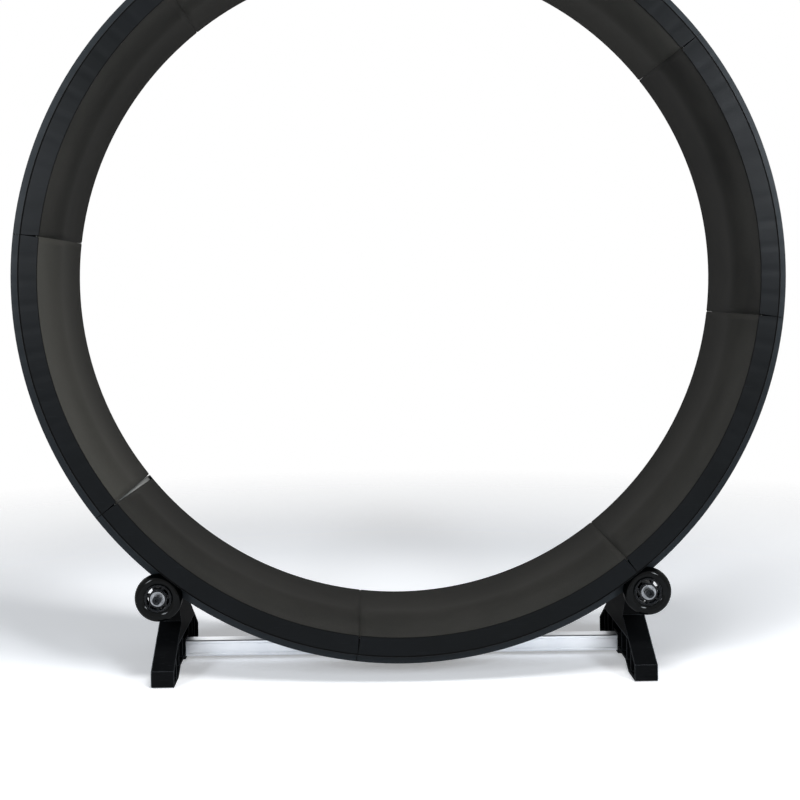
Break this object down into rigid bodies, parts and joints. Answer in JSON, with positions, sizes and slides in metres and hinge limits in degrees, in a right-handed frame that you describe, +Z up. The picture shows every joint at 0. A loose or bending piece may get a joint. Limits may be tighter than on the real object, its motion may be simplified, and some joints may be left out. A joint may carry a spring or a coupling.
{
  "type": "cat exercise wheel",
  "caption": "Large open running wheel for a cat, foam-lined inside, turning on skate rollers carried by a low two-footed base with a cross bar.",
  "frame": {"origin": "on the floor under the middle of the wheel", "axes": "+Z up, +Y from the front of the wheel to its back along the axle lines, +X to the right seen from the front"},
  "size_m": [1.1808, 0.305, 1.2029],
  "materials": {
    "rim_moulding": "satin moulded",
    "mat_foam": "matte embossed foam",
    "stand_moulding": "satin moulded",
    "bar_aluminium": "satin anodised",
    "screw_steel": "zinc plated",
    "pad_rubber": "matte",
    "roller_tyre": "glossy cast",
    "roller_core": "gloss moulded",
    "bearing_steel": "ground",
    "bolt_steel": "black oxide",
    "nut_steel": "zinc plated",
    "washer_steel": "zinc plated"
  },
  "bodies": {
    "base": {"left_stand": "stand_moulding", "right_stand": "stand_moulding", "cross_bar": "bar_aluminium", "bar_screws": "screw_steel", "foot_pad_front_left": "pad_rubber", "foot_pad_front_right": "pad_rubber", "foot_pad_rear_left": "pad_rubber", "foot_pad_rear_right": "pad_rubber", "bearing_cones": "bearing_steel", "axle_bolts": "bolt_steel", "axle_nuts": "nut_steel", "axle_washers": "washer_steel", "axle_spacers": "washer_steel"},
    "wheel": {"rim_segment_1": "rim_moulding", "rim_segment_2": "rim_moulding", "rim_segment_3": "rim_moulding", "rim_segment_4": "rim_moulding", "rim_segment_5": "rim_moulding", "rim_segment_6": "rim_moulding", "rim_segment_7": "rim_moulding", "rim_segment_8": "rim_moulding", "running_mat_1": "mat_foam", "running_mat_2": "mat_foam", "running_mat_3": "mat_foam", "running_mat_4": "mat_foam", "running_mat_5": "mat_foam", "running_mat_6": "mat_foam", "running_mat_7": "mat_foam", "running_mat_8": "mat_foam"},
    "roller_front_left": {"roller_tyre_front_left": "roller_tyre", "roller_core_front_left": "roller_core", "bearing_races_front_left": "bearing_steel"},
    "roller_front_right": {"roller_tyre_front_right": "roller_tyre", "roller_core_front_right": "roller_core", "bearing_races_front_right": "bearing_steel"},
    "roller_rear_left": {"roller_tyre_rear_left": "roller_tyre", "roller_core_rear_left": "roller_core", "bearing_races_rear_left": "bearing_steel"},
    "roller_rear_right": {"roller_tyre_rear_right": "roller_tyre", "roller_core_rear_right": "roller_core", "bearing_races_rear_right": "bearing_steel"}
  },
  "joints": [
    {"name": "wheel_spin", "type": "hinge", "parent": "base", "child": "wheel", "pos_m": [0, 0, 0.61241], "axis": [0, 1, 0], "continuous": true},
    {"name": "roller_spin_front_left", "type": "hinge", "parent": "base", "child": "roller_front_left", "pos_m": [-0.3694, -0.1245, 0.131], "axis": [0, 1, 0], "continuous": true},
    {"name": "roller_spin_front_right", "type": "hinge", "parent": "base", "child": "roller_front_right", "pos_m": [0.3694, -0.1245, 0.131], "axis": [0, 1, 0], "continuous": true},
    {"name": "roller_spin_rear_left", "type": "hinge", "parent": "base", "child": "roller_rear_left", "pos_m": [-0.3694, 0.1245, 0.131], "axis": [0, 1, 0], "continuous": true},
    {"name": "roller_spin_rear_right", "type": "hinge", "parent": "base", "child": "roller_rear_right", "pos_m": [0.3694, 0.1245, 0.131], "axis": [0, 1, 0], "continuous": true}
  ],
  "couplings": [
    {"joint": "roller_spin_front_left", "follows": "wheel_spin", "ratio": -15.847},
    {"joint": "roller_spin_front_right", "follows": "wheel_spin", "ratio": -15.847},
    {"joint": "roller_spin_rear_left", "follows": "wheel_spin", "ratio": -15.847},
    {"joint": "roller_spin_rear_right", "follows": "wheel_spin", "ratio": -15.847}
  ]
}
